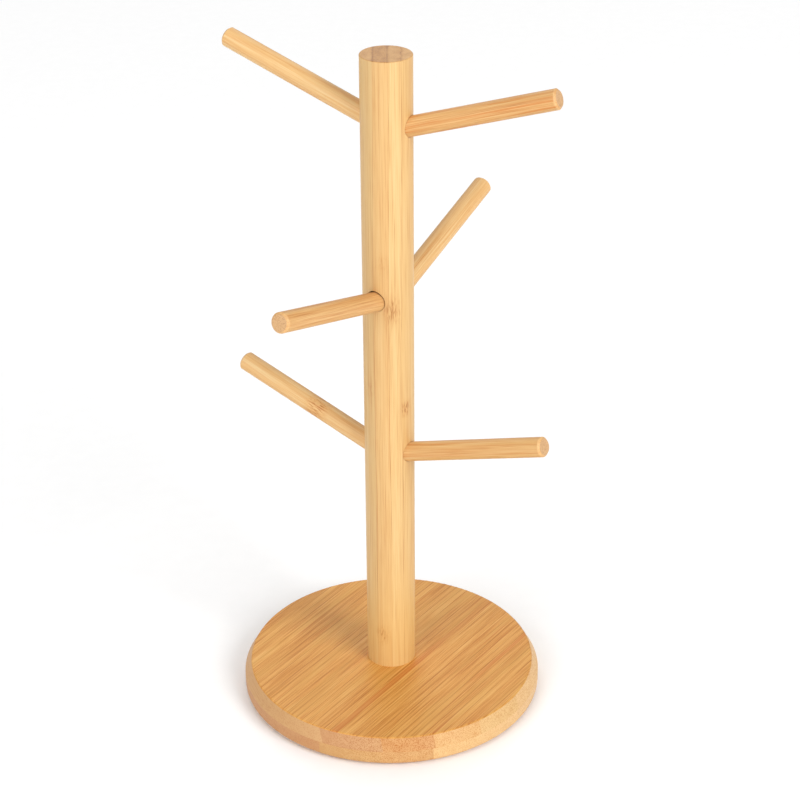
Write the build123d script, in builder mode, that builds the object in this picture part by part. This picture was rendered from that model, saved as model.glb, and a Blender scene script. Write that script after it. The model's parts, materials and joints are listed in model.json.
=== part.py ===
from build123d import *
import os
from math import cos, radians, sin

# A bamboo mug tree: a round board, a round post screwed to it from beneath, and six plain
# dowel pegs pushed into slanted blind holes in the post, on three levels of opposite pairs.
# Millimetres, +Z up. The origin is on the post's axis, on the surface that the stand rests
# on. +X is to the right and -Y is the front.

# Base board
board_diameter = 150.0
board_thickness = 13.6
board_chamfer_width = 3.5  # measured across the top
board_chamfer_height = 6.1  # measured down the edge
board_easing = 0.8  # radius at both edges of the chamfer
board_lower_easing = 2.0  # radius at the lower edge

# Post
post_diameter = 24.2
post_length = 319.5
post_top_easing = 0.3

# Pegs: azimuth from +X towards +Y, the height at which the peg's axis crosses the post's
# axis, the rise above the horizontal, and the reach from the post's axis to the tip, along
# the peg. The holes are drilled a little unevenly, so the pegs of a pair aren't quite in line.
peg_diameter = 9.5
peg_tip_chamfer = 1.0
peg_root_chamfer = 0.5
peg_root_distance = 4.0  # from the post's axis to the buried end, along the peg
pegs = {
    "peg_top_left": (148.0, 300.7, 17.7, 91.5),
    "peg_top_right": (336.0, 298.5, 17.85, 86.1),
    "peg_middle_left": (238.0, 215.0, 15.0, 91.5),
    "peg_middle_right": (57.0, 213.0, 19.5, 91.5),
    "peg_bottom_left": (146.0, 132.0, 17.5, 91.5),
    "peg_bottom_right": (326.0, 133.0, 18.5, 91.0),
}
peg_hole_clearance = 0.12  # on the radius, taken up by glue
loose_hole_clearance = 0.33
loose_hole_shift = (0.08, 0.28)  # to the right and up, so that a gap shows above the peg
loose_peg = "peg_middle_left"
peg_hole_end_gap = 0.4

# Wood screw, driven up through the board into the post's foot
screw_length = 42.0  # under the head
screw_head_diameter = 9.0
screw_head_height = 3.0
screw_head_flat_diameter = 5.0
screw_head_rim_height = 0.8
screw_core_diameter = 3.2
screw_thread_diameter = 4.5
screw_point_length = 4.0
thread_pitch = 2.2
thread_root_width = 1.0
thread_root_sink = 0.2  # how far the ridge's root lies inside the core
thread_crest_width = 0.15
thread_length = 26.0
cross_recess_length = 4.6
cross_recess_width = 1.1
cross_recess_depth = 1.9
cross_recess_taper = 8.0  # degrees
pilot_hole_diameter = 3.3
pilot_hole_depth = 34.0
washer_diameter = 14.0
washer_bore = 5.0
washer_thickness = 1.2
washer_easing = 0.25
board_hole_diameter = 5.2
counterbore_diameter = 16.0
counterbore_depth = 4.6

# Anti-slip pads stuck to the underside
pad_diameter = 12.0
pad_thickness = 1.5
pad_easing = 0.3
pad_circle_radius = 58.0
pads = {
    "foot_pad_front_left": 225.0,
    "foot_pad_front_right": 315.0,
    "foot_pad_back_left": 135.0,
    "foot_pad_back_right": 45.0,
}

# Heights that follow from these
board_bottom = pad_thickness
board_top = board_bottom + board_thickness
washer_bottom = board_bottom + counterbore_depth - washer_thickness
screw_tip = washer_bottom + screw_length
thread_start = screw_tip - screw_point_length - thread_length


def peg_plane(azimuth, height, rise):
    """The plane across a peg's axis where that axis crosses the post's axis."""
    direction = Vector(
        cos(radians(rise)) * cos(radians(azimuth)),
        cos(radians(rise)) * sin(radians(azimuth)),
        sin(radians(rise)),
    )
    sideways = (-sin(radians(azimuth)), cos(radians(azimuth)), 0)
    return Plane(origin=(0, 0, height), x_dir=sideways, z_dir=direction)


def save(builder, name):
    """Names a finished piece and writes its STEP file."""
    builder.part.label = name
    export_step(builder.part, f"parts/{name}.step")


os.makedirs("parts", exist_ok=True)

# Base board: a round laminated blank with a steep chamfer round its top, softly eased
# edges, and a counterbored hole for the screw in the middle of its underside.
with BuildPart() as base_board:
    with BuildSketch(Plane.XY.offset(board_bottom)):
        Circle(board_diameter / 2)
    extrude(amount=board_thickness)
    top_face = base_board.faces().sort_by(Axis.Z)[-1]
    chamfer(
        top_face.edges(),
        length=board_chamfer_width,
        length2=board_chamfer_height,
        reference=top_face,
    )
    fillet(
        base_board.edges().filter_by(GeomType.CIRCLE).sort_by(Axis.Z)[1:],
        radius=board_easing,
    )
    fillet(base_board.edges().group_by(Axis.Z)[0], radius=board_lower_easing)
    with Locations(base_board.faces().sort_by(Axis.Z)[0]):
        CounterBoreHole(
            radius=board_hole_diameter / 2,
            counter_bore_radius=counterbore_diameter / 2,
            counter_bore_depth=counterbore_depth,
        )
save(base_board, "base_board")

# Post: a turned laminated square, cut off flat, with a blind hole for each peg and a pilot
# hole up its foot.
with BuildPart() as post:
    with BuildSketch(Plane.XY.offset(board_top)):
        Circle(post_diameter / 2)
    extrude(amount=post_length)
    chamfer(post.edges().group_by(Axis.Z)[-1], length=post_top_easing)
    for peg_name, (azimuth, height, rise, reach) in pegs.items():
        loose = peg_name == loose_peg
        hole_end = peg_root_distance - peg_hole_end_gap
        with BuildSketch(peg_plane(azimuth, height, rise).offset(hole_end)):
            with Locations(loose_hole_shift if loose else (0, 0)):
                Circle(peg_diameter / 2 + (loose_hole_clearance if loose else peg_hole_clearance))
        extrude(amount=post_diameter, mode=Mode.SUBTRACT)
    with BuildSketch(Plane.XY.offset(board_top)):
        Circle(pilot_hole_diameter / 2)
    extrude(amount=pilot_hole_depth, mode=Mode.SUBTRACT)
save(post, "post")

# Pegs: plain dowels with a small chamfer at the tip and a smaller one at the buried end.
for peg_name, (azimuth, height, rise, reach) in pegs.items():
    plane = peg_plane(azimuth, height, rise)
    with BuildPart() as peg:
        with BuildSketch(plane.offset(peg_root_distance)):
            Circle(peg_diameter / 2)
        extrude(amount=reach - peg_root_distance)
        peg_axis = Axis(plane.origin, plane.z_dir)
        chamfer(peg.faces().sort_by(peg_axis)[-1].edges(), length=peg_tip_chamfer)
        chamfer(peg.faces().sort_by(peg_axis)[0].edges(), length=peg_root_chamfer)
    save(peg, peg_name)

# Wood screw: pan head with a cross recess, plain core, coarse thread and a point.
with BuildPart() as base_screw:
    head_bottom = washer_bottom - screw_head_height
    with BuildSketch(Plane.XZ):
        with BuildLine():
            Line((0, head_bottom), (screw_head_flat_diameter / 2, head_bottom))
            RadiusArc(
                (screw_head_flat_diameter / 2, head_bottom),
                (screw_head_diameter / 2, washer_bottom - screw_head_rim_height),
                -screw_head_height,
            )
            Polyline(
                (screw_head_diameter / 2, washer_bottom - screw_head_rim_height),
                (screw_head_diameter / 2, washer_bottom),
                (screw_core_diameter / 2, washer_bottom),
                (screw_core_diameter / 2, screw_tip - screw_point_length),
                (0, screw_tip),
                (0, head_bottom),
            )
        make_face()
    revolve(axis=Axis.Z)
    with BuildSketch(Plane.XY.offset(head_bottom)):
        Rectangle(cross_recess_length, cross_recess_width)
        Rectangle(cross_recess_width, cross_recess_length)
    extrude(amount=cross_recess_depth, taper=cross_recess_taper, mode=Mode.SUBTRACT)
    with BuildLine() as thread_path:
        Helix(
            pitch=thread_pitch,
            height=thread_length,
            radius=screw_core_diameter / 2,
            center=(0, 0, thread_start),
        )
    thread_plane = Plane(
        origin=thread_path.line @ 0,
        x_dir=(1, 0, 0),
        z_dir=thread_path.line % 0,
    )
    thread_height = (screw_thread_diameter - screw_core_diameter) / 2
    with BuildSketch(thread_plane):
        with BuildLine():
            Polyline(
                (-thread_root_sink, -thread_root_width / 2),
                (thread_height, -thread_crest_width / 2),
                (thread_height, thread_crest_width / 2),
                (-thread_root_sink, thread_root_width / 2),
                close=True,
            )
        make_face()
    sweep(path=thread_path.line, is_frenet=True)
save(base_screw, "base_screw")

# Flat washer between the screw's head and the bottom of the counterbore
with BuildPart() as screw_washer:
    with BuildSketch(Plane.XY.offset(washer_bottom)):
        Circle(washer_diameter / 2)
        Circle(washer_bore / 2, mode=Mode.SUBTRACT)
    extrude(amount=washer_thickness)
    chamfer(screw_washer.edges().group_by(Axis.Z)[0].sort_by(SortBy.LENGTH)[-1], washer_easing)
save(screw_washer, "screw_washer")

# Anti-slip pads
for pad_name, azimuth in pads.items():
    with BuildPart() as pad:
        with BuildSketch(Plane.XY):
            with Locations(
                (
                    pad_circle_radius * cos(radians(azimuth)),
                    pad_circle_radius * sin(radians(azimuth)),
                )
            ):
                Circle(pad_diameter / 2)
        extrude(amount=pad_thickness)
        fillet(pad.edges().group_by(Axis.Z)[0], radius=pad_easing)
    save(pad, pad_name)
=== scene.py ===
import json
from math import cos, pi, radians, sin

import bpy
from mathutils import Matrix, Vector


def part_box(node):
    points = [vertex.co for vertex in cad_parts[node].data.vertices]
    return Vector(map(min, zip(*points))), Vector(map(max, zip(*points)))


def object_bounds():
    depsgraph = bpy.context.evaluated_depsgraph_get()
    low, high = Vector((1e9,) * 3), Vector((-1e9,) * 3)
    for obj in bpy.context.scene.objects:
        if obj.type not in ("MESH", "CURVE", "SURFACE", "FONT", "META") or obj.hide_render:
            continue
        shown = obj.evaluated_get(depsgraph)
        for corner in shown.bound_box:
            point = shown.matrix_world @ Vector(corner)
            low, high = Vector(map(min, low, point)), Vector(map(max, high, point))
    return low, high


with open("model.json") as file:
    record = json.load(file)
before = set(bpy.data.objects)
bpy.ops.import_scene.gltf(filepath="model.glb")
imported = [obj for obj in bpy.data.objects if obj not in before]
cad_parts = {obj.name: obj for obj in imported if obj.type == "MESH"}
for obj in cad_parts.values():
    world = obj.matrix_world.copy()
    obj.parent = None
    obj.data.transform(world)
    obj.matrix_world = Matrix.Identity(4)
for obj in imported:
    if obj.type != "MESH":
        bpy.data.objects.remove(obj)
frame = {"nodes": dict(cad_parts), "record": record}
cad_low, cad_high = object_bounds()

# A bamboo mug tree on a plain white floor, in soft studio light. The shapes are the CAD nodes'
# own, and this script gives each its material. Places are in metres in the row frame. Inside
# the materials, distances are in millimetres.

MM = 0.001

# Camera: its place, its angles and its lens
CAMERA_PLACE = (0.0047, -0.8998, 0.6328)
CAMERA_PITCH = 27.57  # degrees below the horizon
CAMERA_ROLL = -0.405  # degrees
CAMERA_SENSOR = 36.0  # mm wide
CAMERA_LENS = 95.13  # mm
CAMERA_SHIFT = (0.0013, -0.0034)
CAMERA_RANGE = (0.01, 50.0)  # the nearest and the farthest distance that it sees

# Light. An azimuth is measured from +X towards +Y, so the front is -90. A strength is the
# brightness that the lamp alone gives a white surface that faces it.
WORLD_STRENGTH = 0.50
LAMPS = {
    "key_light": {"azimuth": -46, "elevation": 30, "distance": 5.4, "width": 2.7, "strength": 0.66},
    "fill_light": {"azimuth": -128, "elevation": 27, "distance": 5.4, "width": 3.2, "strength": 0.44},
    "back_light": {"azimuth": 95, "elevation": 38, "distance": 5.4, "width": 3.8, "strength": 0.22},
}
FLOOR_HALF_WIDTH = 6.0
FLOOR_BRIGHTNESS = 0.985
FLOOR_MOTTLE = 0.005  # how much the brightness varies either way
FLOOR_MOTTLES = 90.0  # in a metre
FLOOR_ROUGHNESS = 0.9
FLOOR_BUMP = 0.02 * MM

# How bright the studio light makes a white surface that faces up, and one that faces forward.
# Colours are given as they look on screen, 0 to 255, and their linear values are divided by this.
LIGHT_ON_TOP = 1.13
LIGHT_IN_FRONT = 1.30

# Grain of every blank. Streaks are noise, as wide as width in millimetres, and stretch times as
# long. Where something shows only in part of a noise, its levels are the values between which
# it comes in. A seed shifts a pattern along the fibres, so that no two strips are alike. Depths
# of the relief are shares of the bump.
MOST_OF_NOISE = (0.3, 0.7)
FIBRE_LINES = {"width": 0.62, "stretch": 75, "detail": 3.0, "roughness": 0.65}
FINE_FIBRES = {"width": 0.24, "stretch": 110, "detail": 2.0, "roughness": 0.7}
NODE_DASHES = {"width": 0.55, "stretch": 6.0, "detail": 1.0}
NODE_DASH_LEVELS = (0.42, 0.72)
SWIRL_SIZE = 5.0  # of the waves that bend the fibres near a node
BUNDLE_SPACING = 0.54
BUNDLE_STRETCH = 60
BUNDLE_EDGE = (0.08, 0.56)  # as shares of the spacing
BUNDLE_DEPTH = 0.3
FIBRE_DEPTH = 0.5
SEED_STEP = 7.3  # from strip to strip, and from layer to layer
FIBRE_SHINE = 0.1  # how much less rough the hard fibres are
BAMBOO_BUMP = 0.04 * MM

# A tone runs from 0, the darkest, to 1. "middle" is where it starts. The rest say how much each
# part of the grain changes it: seams, glue, bundles, dashes and swirls only darken it.
FACE_TONE = {"middle": 0.52, "strips": 0.08, "patches": 0.12, "lines": 0.5, "fine": 0.8, "seam": 0.42}
CORE_TONE = {"middle": 0.12, "bundles": 0.42, "fine": 0.4, "patches": 0.15}
POST_TONE = {
    "middle": 0.56,
    "patches": 0.12,
    "lines": 0.38,
    "fine": 0.4,
    "glue": 0.26,
    "dashes": 0.3,
    "swirl": 0.1,
}
POST_END_TONE = {"middle": 0.58, "layers": 0.12, "bundles": 0.26, "patches": 0.3, "glue": 0.17}
PEG_TONE = {"middle": 0.54, "patches": 0.16, "lines": 0.36, "fine": 0.46, "dashes": 0.36, "swirl": 0.06}
PEG_END_TONE = {"middle": 0.64, "bundles": 0.4}

# Board: its face veneers run one way, and its core, seen round the edge, runs another
BOARD_ROUGHNESS = 0.54
FACE_GRAIN_AZIMUTH = 55.0
FACE_THICKNESS = 0.45
FACE_BLUR = 0.15  # half the depth over which the face gives way to the core
FACE_STRIP_WIDTH = 3.3
FACE_WANDER = 0.6  # how far the strips' joints stray
FACE_WANDER_LENGTH = 100.0
FACE_WANDER_SEED = 0.0
FACE_SEED_RANGE = 50.0
FACE_PATCHES = {"width": 6.0, "stretch": 14, "seed": 3.0, "detail": 1.0}
SEAM_PLACE = 0.08  # as a share of a strip, and the same for its reach
SEAM_REACH = 0.13
SEAM_STREAKS = {"width": 2.0, "stretch": 22, "seed": 9.0}
SEAM_LEVELS = (0.34, 0.56)
FACE_COLOURS = (
    (0.10, (184, 111, 40)),
    (0.36, (210, 142, 64)),
    (0.54, (223, 159, 77)),
    (0.90, (239, 185, 104)),
)
FACE_YELLOW = (216, 164, 80)
YELLOW_STRENGTH = 0.3
YELLOW_STREAKS = {"width": 5.0, "stretch": 12, "seed": 21.0, "detail": 1.0}
YELLOW_LEVELS = (0.45, 0.7)

# Red streaks of the board: each is (place across the grain, width, strength at the front,
# strength at the back), and is redder at its edges than in its middle
FACE_RED = (204, 114, 44)
RED_STRENGTH = 0.85
RED_STREAKS = ((-15.3, 2.2, 1.0, 0.35), (-47.5, 1.2, 0.0, 0.9))
RED_FRONT_END = -10.0  # along the grain
RED_BACK_START = 30.0
RED_MIDDLE = 0.5
RED_BAND_BLUR = 0.4
RED_EDGE_REACH = 0.5
RED_FADING_STREAKS = {"width": 1.5, "stretch": 30, "seed": 17.0}
RED_FADING_LEVELS = (0.3, 0.5)
RED_FADING = (0.75, 1.1)
THIN_RED_STREAKS = {"width": 0.7, "stretch": 90, "seed": 34.0, "detail": 1.0}
THIN_RED_LEVELS = (0.66, 0.76)
THIN_RED_STRENGTH = 0.6

# Core of the board, in two plies. The wide strips' colours go from its left flank to its right.
CORE_GRAIN_AZIMUTH = -70.0
CORE_PLY_HEIGHT = 7.4
CORE_PLY_OFFSET = 1.2  # how far the lower ply's joints are from the upper ply's
CORE_PLY_SEED_STEP = 3.1
CORE_JOINTS = (-54.5, -29.5, -4.5, 20.5, 45.5)
CORE_FLANK = 0.25  # how much of the stipple is left on the left flank
CORE_FINE = {"width": 0.22, "stretch": 60, "detail": 1.0}
CORE_PATCHES = {"width": 3.0, "stretch": 22, "detail": 1.0}
CORE_LEVELS = (0.28, 0.72)
UPPER_PLY_COLOURS = (
    (225, 174, 118),
    (210, 147, 92),
    (217, 145, 72),
    (236, 181, 111),
    (240, 196, 132),
    (246, 202, 144),
)
LOWER_PLY_COLOURS = (
    (213, 149, 95),
    (221, 166, 99),
    (224, 165, 99),
    (249, 204, 141),
    (251, 208, 147),
    (246, 202, 144),
)
CORE_DARKER = (236, 216, 194)  # multiplied into the darkest dots
CORE_PALER = (252, 214, 156)
CORE_PALER_STRENGTH = 0.35

# Post: the glue planes between its four layers, across X, the tints of the layers, and the
# nodes of its canes as (place across, height, half width, half height, strength)
POST_ROUGHNESS = 0.52
GLUE_PLANES = (-6.6, 0.4, 6.5)
GLUE_WANDER = 1.2  # how far the planes stray
GLUE_WANDER_LENGTH = 125.0
GLUE_WANDER_SEED = 4.0
GLUE_EDGE = (0.08, 0.32)
GLUE_DEPTH = 0.6
GLUE_FADING_LENGTH = 50.0
GLUE_FADING_LEVELS = (0.42, 0.62)
GLUE_FAINTEST = 0.12
POST_PATCHES = {"width": 3.0, "stretch": 26, "detail": 1.0}
POST_SWIRL = 1.0
POST_COLOURS = (
    (0.05, (184, 121, 62)),
    (0.32, (225, 170, 108)),
    (0.55, (244, 202, 136)),
    (0.90, (250, 217, 158)),
)
LAYER_TINTS = ((246, 244, 243), (250, 243, 238), (255, 255, 255), (252, 248, 243))
POST_NODES = (
    (-9.5, 171.0, 3.5, 10.0, 0.5),
    (-3.0, 237.5, 4.0, 8.0, 0.5),
    (1.9, 214.0, 6.0, 11.0, 1.0),
    (-3.8, 34.0, 5.2, 8.0, 1.3),
    (8.0, 161.7, 3.0, 6.5, 1.6),
)
FOOT_PAINTED_LIGHT = 0.35  # how strongly painted warm light brightens the post at its foot, standing in for light bounced off the board
FOOT_RANGE = (25.0, 90.0)  # the heights between which that fades
FOOT_PAINTED_LIGHT_COLOUR = (255, 204, 120)
POST_END_DEPTH = (0.35, 0.1)  # below the top, where the sawn end's look comes in
POST_END_GLUE_EDGE = (0.1, 1.0)
POST_END_PATCHES = {"width": 4.0, "stretch": 20, "detail": 1.0}
POST_END_COLOURS = (
    (0.15, (158, 104, 54)),
    (0.50, (206, 154, 94)),
    (0.85, (224, 177, 116)),
)

# Pegs: how many degrees each blank was turned about its own axis, how far from the tip its node
# is, if it has one, and how red and how dark its fibres are
PEGS = {
    "peg_top_left": {"turn": 20, "node": None, "red": 0.8, "dark": -0.10},
    "peg_top_right": {"turn": 75, "node": None, "red": 2.4, "dark": 0.05},
    "peg_middle_left": {"turn": 140, "node": None, "red": 0.4, "dark": 0.06},
    "peg_middle_right": {"turn": 200, "node": None, "red": 0.3, "dark": -0.08},
    "peg_bottom_left": {"turn": 255, "node": 48.0, "red": 0.6, "dark": -0.10},
    "peg_bottom_right": {"turn": 310, "node": None, "red": 0.9, "dark": 0.0},
}
PEG_RADIUS = 4.75
PEG_ROUGHNESS = 0.52
PEG_SEED_SCALE = 0.37
PEG_PATCHES = {"width": 2.4, "stretch": 24}
PEG_SWIRL = 1.2
PEG_NODE_HALF_LENGTH = 9.0
PEG_COLOURS = (
    (0.08, (190, 114, 54)),
    (0.36, (226, 164, 97)),
    (0.58, (245, 195, 128)),
    (0.92, (252, 219, 162)),
)
PEG_RED = (228, 152, 82)
PEG_RED_STRENGTH = 0.5
PEG_RED_STREAKS = {"width": 0.9, "stretch": 60, "detail": 3.0, "roughness": 0.7}
PEG_RED_SEED_SHIFT = 5.0
PEG_RED_LEVELS = (0.46, 0.68)
PEG_END_DEPTH = (0.05, 0.2)
PEG_END_COLOURS = (
    (0.2, (180, 128, 80)),
    (0.5, (221, 171, 118)),
    (0.8, (237, 195, 144)),
)
PEG_RIM_COLOUR = (246, 204, 148)
PEG_RIM_STRENGTH = 0.3
PEG_RIM_DEPTH = (1.0, 1.5)
PEG_RIM_INSET = 0.3
PEG_RIM_REACH = 0.7

# Screw, washer and pads
ZINC_COLOURS = ((0.35, (186, 188, 190)), (0.65, (222, 224, 226)))
ZINC_DULLNESS = {"width": 1.6, "stretch": 1, "seed": 2.0, "detail": 3.0}
ZINC_RINGS = 6.0  # turning marks in a millimetre
ZINC_RING_SHINE = 0.2  # how much the marks change the dullness
ZINC_ROUGHNESS = (0.22, 0.42)
ZINC_BUMP = 0.01 * MM
FOAM_COLOURS = ((0.2, (34, 34, 35)), (0.8, (66, 65, 64)))
FOAM_CELLS = 2200.0  # in a metre
FOAM_PATCHES = 260.0
FOAM_CELL_TONE = 0.6
FOAM_PATCH_TONE = 0.5
FOAM_ROUGHNESS = (0.95, 0.8)  # in the middle of a cell, and at its edge
FOAM_BUMP = 0.12 * MM


def shade(colour, light=1.0):
    """The linear colour of a surface that looks like this on screen, in that light."""
    parts = [channel / 255 for channel in colour]
    linear = [p / 12.92 if p <= 0.04045 else ((p + 0.055) / 1.055) ** 2.4 for p in parts]
    return (*(p / light for p in linear), 1.0)


class Graph:
    """A material's node tree. A value is a number or the output of another node."""

    def __init__(self, name):
        self.material = bpy.data.materials.new(name)
        self.material.use_nodes = True
        self.tree = self.material.node_tree
        self.tree.nodes.clear()

    def feed(self, socket, value):
        if isinstance(value, bpy.types.NodeSocket):
            self.tree.links.new(value, socket)
        else:
            socket.default_value = value

    def node(self, kind, inputs, **settings):
        made = self.tree.nodes.new(kind)
        for key, value in settings.items():
            setattr(made, key, value)
        for key, value in inputs.items():
            self.feed(made.inputs[key], value)
        return made

    def math(self, operation, *values):
        return self.node("ShaderNodeMath", dict(enumerate(values)), operation=operation).outputs[0]

    def add(self, a, b):
        return self.math("ADD", a, b)

    def subtract(self, a, b):
        return self.math("SUBTRACT", a, b)

    def times(self, a, b):
        return self.math("MULTIPLY", a, b)

    def total(self, *values):
        result = values[0]
        for value in values[1:]:
            result = self.add(result, value)
        return result

    def length(self, a, b):
        """The length of a vector with these two parts."""
        return self.math("SQRT", self.add(self.math("POWER", a, 2.0), self.math("POWER", b, 2.0)))

    def count_above(self, value, marks):
        """How many of the marks value is above."""
        return self.total(*(self.math("GREATER_THAN", value, mark) for mark in marks))

    def spread(self, value, low, high, to_low=0.0, to_high=1.0):
        """Goes smoothly from to_low at low to to_high at high."""
        inputs = {
            "Value": value,
            "From Min": low,
            "From Max": high,
            "To Min": to_low,
            "To Max": to_high,
        }
        return self.node("ShaderNodeMapRange", inputs, interpolation_type="SMOOTHSTEP").outputs[0]

    def near(self, value, centre, reach):
        """1 where value is centre, falling smoothly to 0 at reach from it."""
        distance = self.math("ABSOLUTE", self.subtract(value, centre))
        return self.spread(distance, 0.0, reach, 1.0, 0.0)

    def centred(self, value, strength):
        """Turns noise, which varies about 0.5, into a change of up to strength either way."""
        return self.times(self.subtract(value, 0.5), 2 * strength)

    def vector(self, x, y, z):
        return self.node("ShaderNodeCombineXYZ", {"X": x, "Y": y, "Z": z}).outputs[0]

    def noise(self, vector, detail=2.0, roughness=0.5):
        inputs = {"Vector": vector, "Scale": 1.0, "Detail": detail, "Roughness": roughness}
        return self.node("ShaderNodeTexNoise", inputs).outputs["Fac"]

    def chance(self, value):
        """A random number from 0 to 1 for each whole number."""
        return self.node("ShaderNodeTexWhiteNoise", {"W": value}, noise_dimensions="1D").outputs["Value"]

    def mix(self, share, a, b, blend="MIX"):
        made = self.node("ShaderNodeMix", {}, data_type="RGBA", blend_type=blend)
        self.feed(made.inputs[0], share)
        self.feed(made.inputs[6], a)
        self.feed(made.inputs[7], b)
        return made.outputs[2]

    def ramp(self, value, stops, light=1.0, interpolation="LINEAR"):
        """Goes through the stops, each a position and a colour on screen."""
        made = self.node("ShaderNodeValToRGB", {"Fac": value})
        made.color_ramp.interpolation = interpolation
        elements = made.color_ramp.elements
        while len(elements) < len(stops):
            elements.new(0.5)
        for element, (position, colour) in zip(elements, stops):
            element.position = position
            element.color = shade(colour, light)
        return made.outputs[0]

    def pick(self, number, colours, light=1.0):
        """The colour at that whole number in a list, which starts at 0."""
        share = 1 / len(colours)
        stops = [(index * share, colour) for index, colour in enumerate(colours)]
        return self.ramp(self.times(self.add(number, 0.5), share), stops, light, "CONSTANT")

    def surface(self, colour, roughness, height, bump_distance, **constants):
        """Ends the tree with the shader, its bump taken from height."""
        bump = self.node("ShaderNodeBump", {"Height": height, "Strength": 1.0, "Distance": bump_distance})
        shader = self.node(
            "ShaderNodeBsdfPrincipled",
            {"Base Color": colour, "Roughness": roughness, "Normal": bump.outputs[0]},
        )
        for key, value in constants.items():
            shader.inputs[key.replace("_", " ")].default_value = value
        self.node("ShaderNodeOutputMaterial", {"Surface": shader.outputs[0]})
        return self.material


class Grain:
    """Millimetres along the fibres, across them, and through them, of one bamboo blank."""

    def __init__(self, graph, origin, along, across):
        self.graph = graph
        along = Vector(along).normalized()
        through = along.cross(Vector(across)).normalized()
        across = through.cross(along)
        rotation = Matrix((along, across, through)).transposed().to_euler()
        place = graph.node("ShaderNodeTexCoord", {}).outputs["Object"]
        inputs = {"Vector": place, "Location": origin, "Rotation": rotation, "Scale": (MM, MM, MM)}
        local = graph.node("ShaderNodeMapping", inputs, vector_type="TEXTURE").outputs[0]
        parts = graph.node("ShaderNodeSeparateXYZ", {"Vector": local})
        self.along, self.across, self.through = parts.outputs

    def scaled(self, width, stretch, seed=0.0):
        """A place for a texture, in widths across and through, and in longer steps along."""
        graph = self.graph
        return graph.vector(
            graph.add(graph.times(self.along, 1 / (width * stretch)), seed),
            graph.times(self.across, 1 / width),
            graph.times(self.through, 1 / width),
        )

    def streaks(self, width, stretch, seed, detail=2.0, roughness=0.5):
        """Noise in streaks about as wide as width and stretch times as long."""
        return self.graph.noise(self.scaled(width, stretch, seed), detail, roughness)

    def drift(self, length, seed):
        """Noise that changes only along the fibres, over about length."""
        graph = self.graph
        return graph.noise(graph.vector(graph.times(self.along, 1 / length), seed, 0.0))

    def fibres(self, seed):
        """Two sizes of fibre: thin lines, and finer ones between them."""
        return self.streaks(seed=seed, **FIBRE_LINES), self.streaks(seed=seed, **FINE_FIBRES)

    def bundles(self, seed):
        """The cane's fibre bundles, 1 in the middle of each: dots on end grain, lines along it."""
        inputs = {"Vector": self.scaled(BUNDLE_SPACING, BUNDLE_STRETCH, seed), "Scale": 1.0}
        distance = self.graph.node("ShaderNodeTexVoronoi", inputs).outputs["Distance"]
        return self.graph.spread(distance, *BUNDLE_EDGE, 1.0, 0.0)

    def dashes(self, seed):
        """The short dark marks at a node of the cane."""
        return self.graph.spread(self.streaks(seed=seed, **NODE_DASHES), *NODE_DASH_LEVELS)

    def swirl(self, share, reach):
        """Bends the fibres by up to reach times share."""
        graph = self.graph
        wave = graph.noise(self.scaled(SWIRL_SIZE, 1))
        self.across = graph.add(self.across, graph.times(graph.centred(wave, reach), share))


def level_grain(graph, bottom, azimuth):
    """The grain of a level blank whose fibres point to azimuth."""
    turn = radians(azimuth)
    return Grain(graph, bottom, (cos(turn), sin(turn), 0), (-sin(turn), cos(turn), 0))


def bamboo_surface(graph, colour, fibres, dips, dip_depth, roughness):
    """Sanded and oiled bamboo, whose hard fibres shine a little more than what is between."""
    lines, fine = fibres
    relief = graph.total(
        graph.times(lines, FIBRE_DEPTH),
        graph.times(fine, FIBRE_DEPTH),
        graph.times(dips, -dip_depth),
    )
    uneven = graph.spread(lines, *MOST_OF_NOISE, roughness, roughness - FIBRE_SHINE)
    return graph.surface(colour, uneven, relief, BAMBOO_BUMP, IOR=1.45, Specular_IOR_Level=0.4)


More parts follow.
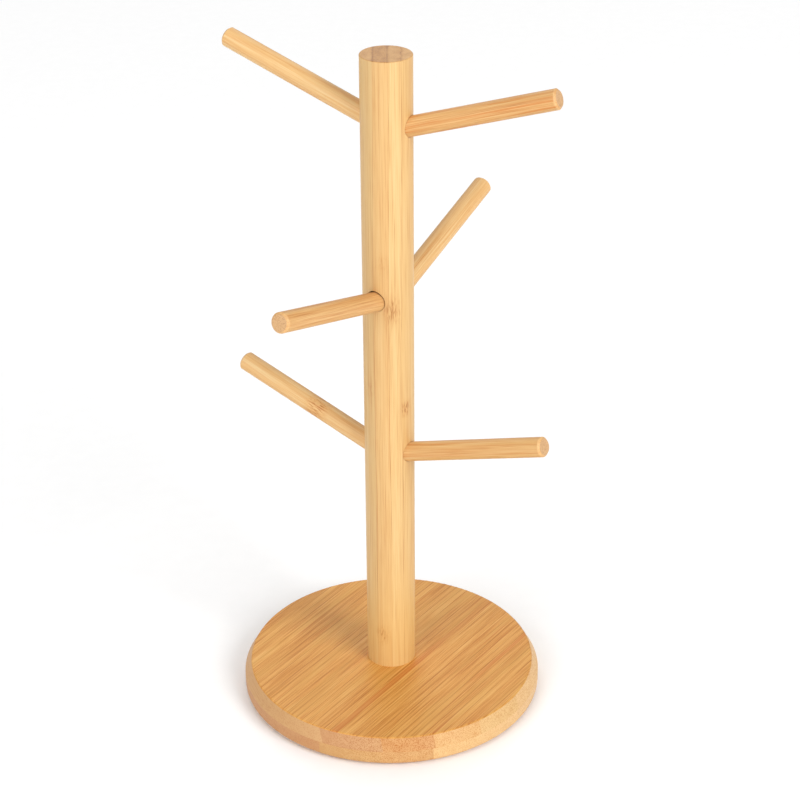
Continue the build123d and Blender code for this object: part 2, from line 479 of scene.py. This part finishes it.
def board_face(graph, face):
    """Narrow strips on edge, each with its own tone and a darker line at one side.

    Gives their colour and their fibres."""
    weights = FACE_TONE
    wander = graph.centred(face.drift(FACE_WANDER_LENGTH, FACE_WANDER_SEED), FACE_WANDER)
    across = graph.add(face.across, wander)
    strip = graph.times(across, 1 / FACE_STRIP_WIDTH)
    number = graph.math("FLOOR", strip)
    fibres = face.fibres(graph.times(graph.chance(number), FACE_SEED_RANGE))
    lines, fine = fibres
    joint = graph.near(graph.subtract(strip, number), SEAM_PLACE, SEAM_REACH)
    seam = graph.times(joint, graph.spread(face.streaks(**SEAM_STREAKS), *SEAM_LEVELS))
    tone = graph.total(
        weights["middle"],
        graph.centred(graph.chance(graph.add(number, 0.5)), weights["strips"]),
        graph.centred(face.streaks(**FACE_PATCHES), weights["patches"]),
        graph.centred(lines, weights["lines"]),
        graph.centred(fine, weights["fine"]),
        graph.times(seam, -weights["seam"]),
    )
    colour = graph.ramp(tone, FACE_COLOURS, LIGHT_ON_TOP)

    # Some stretches are yellower, and a few strips are redder
    yellow = graph.spread(face.streaks(**YELLOW_STREAKS), *YELLOW_LEVELS)
    colour = graph.mix(graph.times(yellow, YELLOW_STRENGTH), colour, shade(FACE_YELLOW, LIGHT_ON_TOP))
    fading = graph.spread(face.streaks(**RED_FADING_STREAKS), *RED_FADING_LEVELS, *RED_FADING)
    red = 0.0
    for place, width, front, back in RED_STREAKS:
        from_middle = graph.math("ABSOLUTE", graph.subtract(across, place))
        band = graph.spread(from_middle, width / 2, width / 2 + RED_BAND_BLUR, RED_MIDDLE, 0.0)
        edges = graph.near(from_middle, width / 2, RED_EDGE_REACH)
        strength = graph.spread(face.along, RED_FRONT_END, RED_BACK_START, front, back)
        strength = graph.times(strength, fading)
        red = graph.math("MAXIMUM", red, graph.times(graph.math("MAXIMUM", band, edges), strength))
    thin_red = graph.spread(face.streaks(**THIN_RED_STREAKS), *THIN_RED_LEVELS)
    red = graph.math("MAXIMUM", red, graph.times(thin_red, THIN_RED_STRENGTH))
    colour = graph.mix(graph.times(red, RED_STRENGTH), colour, shade(FACE_RED, LIGHT_ON_TOP))
    return colour, fibres


def board_core(graph, core):
    """Wide strips in two plies, with side grain on the flanks and end grain at the ends.

    Gives their colour and their fibre bundles."""
    weights = CORE_TONE
    lower = graph.math("LESS_THAN", core.through, CORE_PLY_HEIGHT)
    shifted = graph.add(core.across, graph.times(lower, CORE_PLY_OFFSET))
    strip = graph.count_above(shifted, CORE_JOINTS)
    seed = graph.add(graph.times(strip, SEED_STEP), graph.times(lower, CORE_PLY_SEED_STEP))
    bundles = core.bundles(seed)
    colour = graph.mix(
        lower,
        graph.pick(strip, UPPER_PLY_COLOURS, LIGHT_IN_FRONT),
        graph.pick(strip, LOWER_PLY_COLOURS, LIGHT_IN_FRONT),
    )
    smooth_flank = graph.spread(core.across, CORE_JOINTS[0], CORE_JOINTS[1], CORE_FLANK, 1.0)
    stipple = graph.total(
        weights["middle"],
        graph.times(bundles, -weights["bundles"]),
        graph.centred(core.streaks(seed=seed, **CORE_FINE), weights["fine"]),
        graph.centred(core.streaks(seed=seed, **CORE_PATCHES), weights["patches"]),
    )
    stipple = graph.add(graph.times(stipple, smooth_flank), 0.5)
    darker = graph.mix(1.0, colour, shade(CORE_DARKER), "MULTIPLY")
    paler = graph.mix(CORE_PALER_STRENGTH, colour, shade(CORE_PALER, LIGHT_IN_FRONT))
    return graph.mix(graph.spread(stipple, *CORE_LEVELS), darker, paler), bundles


def bamboo_board():
    """Face veneers of narrow strips on edge, over a core of wide strips laid flat."""
    graph = Graph("laminated_bamboo_board")
    low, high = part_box("base_board")
    bottom = Vector((0, 0, low.z))
    face = level_grain(graph, bottom, FACE_GRAIN_AZIMUTH)
    core = level_grain(graph, bottom, CORE_GRAIN_AZIMUTH)
    face_colour, fibres = board_face(graph, face)
    core_colour, bundles = board_core(graph, core)
    from_top = graph.subtract((high.z - low.z) / MM, core.through)
    depth = graph.math("MINIMUM", core.through, from_top)
    inside = graph.spread(depth, FACE_THICKNESS - FACE_BLUR, FACE_THICKNESS + FACE_BLUR)
    colour = graph.mix(inside, face_colour, core_colour)
    return bamboo_surface(graph, colour, fibres, bundles, BUNDLE_DEPTH, BOARD_ROUGHNESS)


def post_end(graph, grain, layer, seed, from_glue):
    """The sawn end is darker, stippled with the ends of the fibres."""
    weights = POST_END_TONE
    tone = graph.total(
        weights["middle"],
        graph.centred(graph.chance(graph.add(layer, 2.5)), weights["layers"]),
        graph.times(grain.bundles(seed), -weights["bundles"]),
        graph.centred(grain.streaks(seed=seed, **POST_END_PATCHES), weights["patches"]),
        graph.times(graph.spread(from_glue, *POST_END_GLUE_EDGE, 1.0, 0.0), -weights["glue"]),
    )
    return graph.ramp(tone, POST_END_COLOURS, LIGHT_ON_TOP)


def bamboo_post():
    """Four layers glued side by side and turned round, with the nodes of their canes."""
    graph = Graph("laminated_bamboo_post")
    weights = POST_TONE
    grain = Grain(graph, Vector((0, 0, 0)), (0, 0, 1), (1, 0, 0))
    wander = graph.centred(grain.drift(GLUE_WANDER_LENGTH, GLUE_WANDER_SEED), GLUE_WANDER)
    across = graph.add(grain.across, wander)
    layer = graph.count_above(across, GLUE_PLANES)
    seed = graph.times(layer, SEED_STEP)

    # Near a node the fibres swirl, and short dark dashes show
    swirl = 0.0
    for place, height, half_width, half_height, strength in POST_NODES:
        mark = graph.near(across, place, half_width)
        mark = graph.times(mark, graph.near(grain.along, height, half_height))
        swirl = graph.math("MAXIMUM", swirl, graph.times(mark, strength))
    dashes = grain.dashes(seed)
    grain.swirl(swirl, POST_SWIRL)
    fibres = grain.fibres(seed)
    lines, fine = fibres

    # The glue lines fade in and out along the post
    from_glue = graph.math("ABSOLUTE", graph.subtract(across, GLUE_PLANES[0]))
    for plane in GLUE_PLANES[1:]:
        distance = graph.math("ABSOLUTE", graph.subtract(across, plane))
        from_glue = graph.math("MINIMUM", from_glue, distance)
    fading = graph.spread(grain.drift(GLUE_FADING_LENGTH, seed), *GLUE_FADING_LEVELS, GLUE_FAINTEST, 1.0)
    glue = graph.times(graph.spread(from_glue, *GLUE_EDGE, 1.0, 0.0), fading)

    tone = graph.total(
        weights["middle"],
        graph.centred(grain.streaks(seed=seed, **POST_PATCHES), weights["patches"]),
        graph.centred(lines, weights["lines"]),
        graph.centred(fine, weights["fine"]),
        graph.times(glue, -weights["glue"]),
        graph.times(graph.times(dashes, swirl), -weights["dashes"]),
        graph.times(swirl, -weights["swirl"]),
    )
    colour = graph.ramp(tone, POST_COLOURS, LIGHT_IN_FRONT)
    colour = graph.mix(1.0, colour, graph.pick(layer, LAYER_TINTS), "MULTIPLY")
    # Painted light: the foot is brightened and warmed, standing in for light bounced up off the orange
    # board
    foot = graph.spread(grain.along, *FOOT_RANGE, FOOT_PAINTED_LIGHT, 0.0)
    colour = graph.mix(foot, colour, shade(FOOT_PAINTED_LIGHT_COLOUR, LIGHT_IN_FRONT))

    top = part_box("post")[1].z / MM
    at_end = graph.spread(grain.along, *(top - depth for depth in POST_END_DEPTH))
    colour = graph.mix(at_end, colour, post_end(graph, grain, layer, seed, from_glue))
    return bamboo_surface(graph, colour, fibres, glue, GLUE_DEPTH, POST_ROUGHNESS)


def bamboo_peg(name, tip, axis, turn, node, red, dark):
    """A dowel turned from one strip of cane, with its fibres along it."""
    graph = Graph("bamboo_" + name)
    weights = PEG_TONE
    side = Vector((-axis.y, axis.x, 0)).normalized()
    side = Matrix.Rotation(radians(turn), 3, axis) @ side
    grain = Grain(graph, tip, -axis, side)
    seed = turn * PEG_SEED_SCALE

    swirl = graph.near(grain.along, node, PEG_NODE_HALF_LENGTH) if node is not None else 0.0
    dashes = grain.dashes(seed)
    grain.swirl(swirl, PEG_SWIRL)
    fibres = grain.fibres(seed)
    lines, fine = fibres
    tone = graph.total(
        weights["middle"] - dark,
        graph.centred(grain.streaks(seed=seed, **PEG_PATCHES), weights["patches"]),
        graph.centred(lines, weights["lines"]),
        graph.centred(fine, weights["fine"]),
        graph.times(graph.times(dashes, swirl), -weights["dashes"]),
        graph.times(swirl, -weights["swirl"]),
    )
    colour = graph.ramp(tone, PEG_COLOURS, LIGHT_IN_FRONT)
    redder = grain.streaks(seed=seed + PEG_RED_SEED_SHIFT, **PEG_RED_STREAKS)
    redder = graph.times(graph.spread(redder, *PEG_RED_LEVELS), PEG_RED_STRENGTH * red)
    colour = graph.mix(redder, colour, shade(PEG_RED, LIGHT_IN_FRONT))

    # The tip's end grain is a little darker and stippled, with a paler ring round it
    bundles = grain.bundles(seed)
    end_tone = graph.subtract(PEG_END_TONE["middle"], graph.times(bundles, PEG_END_TONE["bundles"]))
    end_colour = graph.ramp(end_tone, PEG_END_COLOURS, LIGHT_IN_FRONT)
    colour = graph.mix(graph.spread(grain.along, *PEG_END_DEPTH, 1.0, 0.0), colour, end_colour)
    radius = graph.length(grain.across, grain.through)
    ring = graph.near(radius, PEG_RADIUS - PEG_RIM_INSET, PEG_RIM_REACH)
    rim = graph.times(graph.spread(grain.along, *PEG_RIM_DEPTH, 1.0, 0.0), ring)
    colour = graph.mix(graph.times(rim, PEG_RIM_STRENGTH), colour, shade(PEG_RIM_COLOUR, LIGHT_IN_FRONT))
    return bamboo_surface(graph, colour, fibres, bundles, BUNDLE_DEPTH, PEG_ROUGHNESS)


def zinc_plated_steel():
    """Bright zinc plate with fine turning marks and dull patches."""
    graph = Graph("zinc_plated_steel")
    grain = Grain(graph, Vector((0, 0, 0)), (1, 0, 0), (0, 1, 0))
    dull = grain.streaks(**ZINC_DULLNESS)
    radius = graph.length(grain.along, grain.across)
    rings = graph.noise(graph.vector(graph.times(radius, ZINC_RINGS), 0.0, grain.through))
    colour = graph.ramp(dull, ZINC_COLOURS)
    ringed = graph.add(dull, graph.centred(rings, ZINC_RING_SHINE))
    roughness = graph.spread(ringed, *MOST_OF_NOISE, *ZINC_ROUGHNESS)
    return graph.surface(colour, roughness, rings, ZINC_BUMP, Metallic=1.0)


def foam_pad():
    """Dark closed-cell foam, with small open cells in its skin."""
    graph = Graph("foam_pad")
    place = graph.node("ShaderNodeTexCoord", {}).outputs["Object"]
    cells = graph.node("ShaderNodeTexVoronoi", {"Vector": place, "Scale": FOAM_CELLS}).outputs["Distance"]
    patches = graph.node("ShaderNodeTexNoise", {"Vector": place, "Scale": FOAM_PATCHES}).outputs["Fac"]
    tone = graph.add(graph.times(cells, FOAM_CELL_TONE), graph.times(patches, FOAM_PATCH_TONE))
    colour = graph.ramp(tone, FOAM_COLOURS)
    roughness = graph.spread(cells, 0.0, 0.7, *FOAM_ROUGHNESS)
    return graph.surface(colour, roughness, cells, FOAM_BUMP, Specular_IOR_Level=0.3)


def white_floor():
    graph = Graph("white_floor")
    place = graph.node("ShaderNodeTexCoord", {}).outputs["Object"]
    mottle = graph.node("ShaderNodeTexNoise", {"Vector": place, "Scale": FLOOR_MOTTLES}).outputs["Fac"]
    brightest = FLOOR_BRIGHTNESS + FLOOR_MOTTLE
    level = graph.spread(mottle, *MOST_OF_NOISE, FLOOR_BRIGHTNESS - FLOOR_MOTTLE, brightest)
    channels = {"Red": level, "Green": level, "Blue": level}
    colour = graph.node("ShaderNodeCombineColor", channels).outputs[0]
    return graph.surface(colour, FLOOR_ROUGHNESS, mottle, FLOOR_BUMP, Specular_IOR_Level=0.1)


def paint(node_name, material):
    """Gives a CAD node its material."""
    for slot in frame["nodes"][node_name].material_slots:
        slot.material = material


def paint_object():
    hooks = {mount["name"]: mount for mount in frame["record"]["mounts"]}
    paint("base_board", bamboo_board())
    paint("post", bamboo_post())
    for name, look in PEGS.items():
        hook = hooks[name.replace("peg", "mug") + "_hook"]
        paint(name, bamboo_peg(name, Vector(hook["pos_m"]), Vector(hook["axis"]), **look))
    steel = zinc_plated_steel()
    paint("base_screw", steel)
    paint("screw_washer", steel)
    foam = foam_pad()
    for name in frame["nodes"]:
        if name.startswith("foot_pad"):
            paint(name, foam)


def make_floor():
    mesh = bpy.data.meshes.new("floor")
    half = FLOOR_HALF_WIDTH
    corners = [(-half, -half, 0), (half, -half, 0), (half, half, 0), (-half, half, 0)]
    mesh.from_pydata(corners, [], [(0, 1, 2, 3)])
    mesh.materials.append(white_floor())
    floor = bpy.data.objects.new("floor", mesh)
    bpy.context.scene.collection.objects.link(floor)


def make_lamp(name, target, azimuth, elevation, distance, width, strength):
    """A soft square lamp that faces target."""
    light = bpy.data.lights.new(name, "AREA")
    light.shape = "SQUARE"
    light.size = width
    light.energy = strength * pi**2 * distance**2
    lamp = bpy.data.objects.new(name, light)
    outward = Vector(
        (
            cos(radians(elevation)) * cos(radians(azimuth)),
            cos(radians(elevation)) * sin(radians(azimuth)),
            sin(radians(elevation)),
        )
    )
    lamp.location = target + outward * distance
    lamp.rotation_euler = outward.to_track_quat("Z", "Y").to_euler()
    bpy.context.scene.collection.objects.link(lamp)


def make_world():
    world = bpy.data.worlds.new("studio")
    world.use_nodes = True
    background = world.node_tree.nodes["Background"]
    background.inputs["Color"].default_value = (1.0, 1.0, 1.0, 1.0)
    background.inputs["Strength"].default_value = WORLD_STRENGTH
    bpy.context.scene.world = world


def make_camera():
    data = bpy.data.cameras.new("camera")
    data.sensor_width = CAMERA_SENSOR
    data.lens = CAMERA_LENS
    data.shift_x, data.shift_y = CAMERA_SHIFT
    data.clip_start, data.clip_end = CAMERA_RANGE
    camera = bpy.data.objects.new("camera", data)
    tilt = Matrix.Rotation(radians(90 - CAMERA_PITCH), 4, "X")
    roll = Matrix.Rotation(radians(CAMERA_ROLL), 4, "Z")
    camera.matrix_world = Matrix.Translation(CAMERA_PLACE) @ tilt @ roll
    bpy.context.scene.collection.objects.link(camera)
    bpy.context.scene.camera = camera


paint_object()
make_floor()
make_world()
for lamp_name, lamp in LAMPS.items():
    make_lamp(lamp_name, (cad_low + cad_high) / 2, **lamp)
make_camera()
bpy.context.scene.view_settings.view_transform = "Standard"
